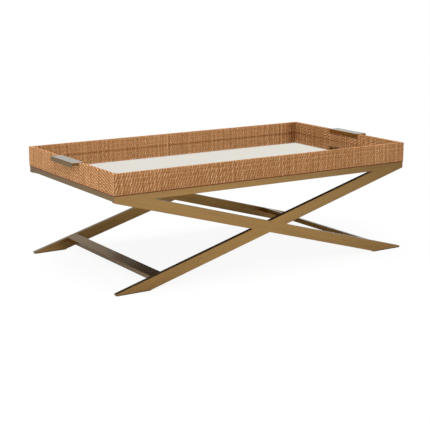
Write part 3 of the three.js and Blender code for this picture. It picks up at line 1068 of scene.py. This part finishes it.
def threadSpans(wall, path):
    # each thread: its number, and the first and last strand that it crosses;
    # a handle's seat cuts the threads on the rim in two
    spans = []
    strands, pitch, rim = wall["strands"], wall["strandPitch"], wall["rimRadius"]
    for number in range(wall["threads"]):
        along = (number + 0.5) * wall["threadPitch"]
        depth = onPath(path, np.array([along]))[0][0]
        first = max(0, math.ceil((depth - wall["sink"]) / pitch - wall["threadLap"]))
        last = strands - 1 - first
        if wall["seat"] and wall["rimSpan"][0] - rim < along < wall["rimSpan"][1] + rim:
            halfSeat = math.ceil(wall["seat"] / pitch)
            middle = strands // 2
            spans.append((number, first, middle - halfSeat - 1))
            spans.append((number, middle + halfSeat + strands % 2, last))
        else:
            spans.append((number, first, last))
    return spans


def addThreads(name, wall, path, draw):
    # threads of one length are made together, with a row at each strand and their ends half a strand past
    spans = threadSpans(wall, path)
    meshes = []
    firstSlot = 0
    for length in sorted({span[2] - span[1] for span in spans}):
        group = np.array([span for span in spans if span[2] - span[1] == length])
        rows = length + 2
        tubes = tubeCopies(name, len(group), rows)
        copy, row = tubes[1:3]
        thread, first, last = group[copy].T
        strand = np.clip(first - 1 + row, first - 0.5, last + 0.5)
        run = (strand + 0.5) * wall["strandPitch"] - wall["reach"]
        along = (thread + 0.5) * wall["threadPitch"]
        crossing = np.clip(np.round(strand).astype(int), 0, None)
        slots = (1, len(spans), firstSlot)
        meshes.append(layRibbons(tubes, wall, path, run, along, crossing, "thread", slots, draw))
        firstSlot += len(group)
    finishWeave(meshes, name, "threads")


def addBacking(name, wall):
    # the cloth that the raffia is glued to, a little under the wall's faces
    bm = mergedCopy(name)
    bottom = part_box(name)[0][2]
    axis = 1 if wall["lengthwise"] else 0
    depth, near = wall["backingDepth"], wall["onFace"]
    for vert in bm.verts:
        away = abs(vert.co[axis])
        if away > wall["outer"] - near:
            vert.co[axis] = wall["side"] * (wall["outer"] - depth)
        elif away < wall["inner"] + near:
            vert.co[axis] = wall["side"] * (wall["inner"] + depth)
        if vert.co.z > wall["top"] - near:
            vert.co.z = wall["top"] - depth
        # its bottom hangs below the weave as a strip of painted shade over the gap above the rail
        elif vert.co.z < bottom + near:
            vert.co.z = bottom - wall["shadeStrip"]
    piece = finishMesh(bm, f"{name}_backing", backing, "tray")
    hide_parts(name)


def addWovenWall(name, look, seed):
    low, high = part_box(name)
    axis, runAxis = (1, 0) if look["lengthwise"] else (0, 1)
    draw = np.random.default_rng(seed)
    wall = {
        **look,
        "outer": max(abs(low[axis]), abs(high[axis])),
        "inner": min(abs(low[axis]), abs(high[axis])),
        "thickness": abs(high[axis] - low[axis]),
        "halfRun": high[runAxis],
        "reach": high[runAxis] - look["cornerGap"],
        "top": high[2],
        "seat": 0 if look["lengthwise"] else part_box("left_handle")[1][1] + look["seatGap"],
        "twill": look["longTwill"] if look["lengthwise"] else look["endTwill"],
        "leanWave": draw.uniform(*look["lean"]["wave"]),
        "leanStart": draw.uniform(*look["lean"]["start"]),
    }
    path = wallPath(wall, low[2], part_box("mirror_panel")[1][2] - look["mirrorLap"])
    onTop = path[:, 0][np.isclose(path[:, 4], 1)]
    wall["rimSpan"] = (onTop.min(), onTop.max())
    wall["pathEnd"] = path[-1, 0]
    wall["strands"] = int(round(2 * wall["reach"] / look["strandPitch"]))
    wall["strandPitch"] = 2 * wall["reach"] / wall["strands"]
    wall["threads"] = int(round(wall["pathEnd"] / look["threadPitch"]))
    wall["threadPitch"] = wall["pathEnd"] / wall["threads"]
    addBacking(name, wall)
    addStrands(name, wall, path, draw)
    addThreads(name, wall, path, draw)


for order, (name, look) in enumerate(wovenWalls.items()):
    addWovenWall(name, {**weave, **look}, weave["seed"] + order)
print("weave made")


# Floor, world and lamps

studio = {
    "floorReach": 14,
    "floorShade": 0.52,
    "floorPatches": [  # painted pools of light and shade on the floor, which polished faces see
        {"centre": (0.1, -0.05), "radius": (0.3, 0.65), "shade": 0.95},
        {"centre": (-1.7, 1.4), "radius": (0.7, 1.7), "shade": 0.33},
        {"centre": (2.4, -1.8), "radius": (0.7, 1.6), "shade": 0.36},
        {"centre": (0.45, -2.0), "radius": (0.25, 0.7), "shade": 0.78},
        {"centre": (1.2, -2.0), "radius": (0.25, 0.7), "shade": 0.78},
    ],
    "shadowShare": 0.09,  # how much of the floor's own shading the camera sees
    "shadowReach": (1.2, 2.6),  # metres from the middle over which that share fades away
    "ambient": 0.62,
    "gloss": 0.55,  # what polished faces see of the room, with a card, a dim ceiling and two dark sides
    "roomParts": [
        {"towards": (0.45, 0.875, 0.165), "edge": (0.9, 0.975), "brightness": 0.8},
        {"towards": (0.32, 0.79, 0.53), "edge": (0.962, 0.99), "brightness": 0.3},
        {"towards": (-0.55, 0.83, 0.03), "edge": (0.945, 0.985), "brightness": 0},
        {"towards": (-0.62, -0.78, 0.1), "edge": (0.8, 0.93), "brightness": 0.02},
    ],
    "glossTint": (1, 0.965, 0.89, 1),
    "lampTarget": (0, 0, 0.3),
    "lamps": {
        "keySoftbox": {"place": (-1.6, -3.4, 3.0), "size": (2.2, 2.2), "power": 85,
                       "tint": (1, 0.98, 0.95), "reflected": True},
        "topSoftbox": {"place": (0.1, 0.7, 3.2), "size": (2.8, 2.8), "power": 70,
                       "tint": (1, 1, 1), "reflected": False},
        "leftStrip": {"place": (-2.8, 0.1, 0.34), "size": (1.8, 0.3), "power": 23,
                      "tint": (1, 0.98, 0.94), "reflected": True},
    },
}


def addDistance(tree, place, centre, radius):
    # 0 within the first radius of a spot on the floor, 1 beyond the second
    apart = addVectorMath(tree, "DISTANCE", place, (*centre, 0))
    return addRange(tree, apart.outputs["Value"], *radius, 0, 1)


def addFloor(look):
    bm = bmesh.new()
    bmesh.ops.create_grid(bm, x_segments=1, y_segments=1, size=look["floorReach"])
    floor = addObject("floor", meshFrom(bm, "floor"))
    material, tree = newMaterial("paleFloor")
    place = objectPoints(tree)
    shade = grey(look["floorShade"])
    # the floor's painted pools of light and shade, which the camera doesn't see
    for patch in look["floorPatches"]:
        away = addDistance(tree, place, patch["centre"], patch["radius"])
        near = addMath(tree, "SUBTRACT", 1, away, clamp=True)
        shade = addMix(tree, near, shade, grey(patch["shade"]))
    forCamera = addNode(tree, "ShaderNodeLightPath").outputs["Is Camera Ray"]
    matt = setInputs(addNode(tree, "ShaderNodeBsdfDiffuse"), Color=addMix(tree, forCamera, shade, grey(1)))
    plain = setInputs(addNode(tree, "ShaderNodeEmission"), Color=grey(1), Strength=1)
    far = addDistance(tree, place, (0, 0), look["shadowReach"])
    white = addMath(tree, "MULTIPLY_ADD", far, look["shadowShare"], 1 - look["shadowShare"])
    surface = setInputs(addNode(tree, "ShaderNodeMixShader"), Fac=multiply(tree, forCamera, white))
    feed(surface.inputs[1], matt.outputs[0])
    feed(surface.inputs[2], plain.outputs[0])
    finishMaterial(tree, surface)
    floor.data.materials.append(material)


def addWorld(look):
    world = bpy.data.worlds.new("studio")
    bpy.context.scene.world = world
    world.use_nodes = True
    tree = world.node_tree
    tree.nodes.clear()
    path = addNode(tree, "ShaderNodeLightPath").outputs
    isCamera, isGlossy = path["Is Camera Ray"], path["Is Glossy Ray"]
    direction = addNode(tree, "ShaderNodeTexCoord").outputs["Generated"]
    glossy = look["gloss"]
    for part in look["roomParts"]:
        facing = addVectorMath(tree, "DOT_PRODUCT", direction, Vector(part["towards"]).normalized())
        share = addRange(tree, facing.outputs["Value"], *part["edge"], 0, 1)
        rest = multiply(tree, addMath(tree, "SUBTRACT", 1, share), glossy)
        glossy = addMath(tree, "MULTIPLY_ADD", share, part["brightness"], rest)
    more = addMath(tree, "SUBTRACT", glossy, look["ambient"])
    strength = addMath(tree, "MULTIPLY_ADD", isCamera, 1 - look["ambient"], look["ambient"])
    background = setInputs(
        addNode(tree, "ShaderNodeBackground"),
        Color=addMix(tree, isGlossy, grey(1), look["glossTint"]),
        Strength=addMath(tree, "MULTIPLY_ADD", isGlossy, more, strength),
    )
    setInputs(addNode(tree, "ShaderNodeOutputWorld"), Surface=background.outputs[0])


def addLamps(look):
    for name, lamp in look["lamps"].items():
        data = bpy.data.lights.new(name, "AREA")
        data.shape = "RECTANGLE"
        data.size, data.size_y = lamp["size"]
        data.energy = lamp["power"]
        data.color = lamp["tint"]
        light = addObject(name, data)
        light.location = lamp["place"]
        ahead = Vector(look["lampTarget"]) - Vector(lamp["place"])
        light.rotation_euler = ahead.to_track_quat("-Z", "Y").to_euler()
        light.visible_glossy = lamp["reflected"]


addFloor(studio)
addWorld(studio)
addLamps(studio)
bpy.context.scene.view_settings.view_transform = "Standard"
print("studio ready")
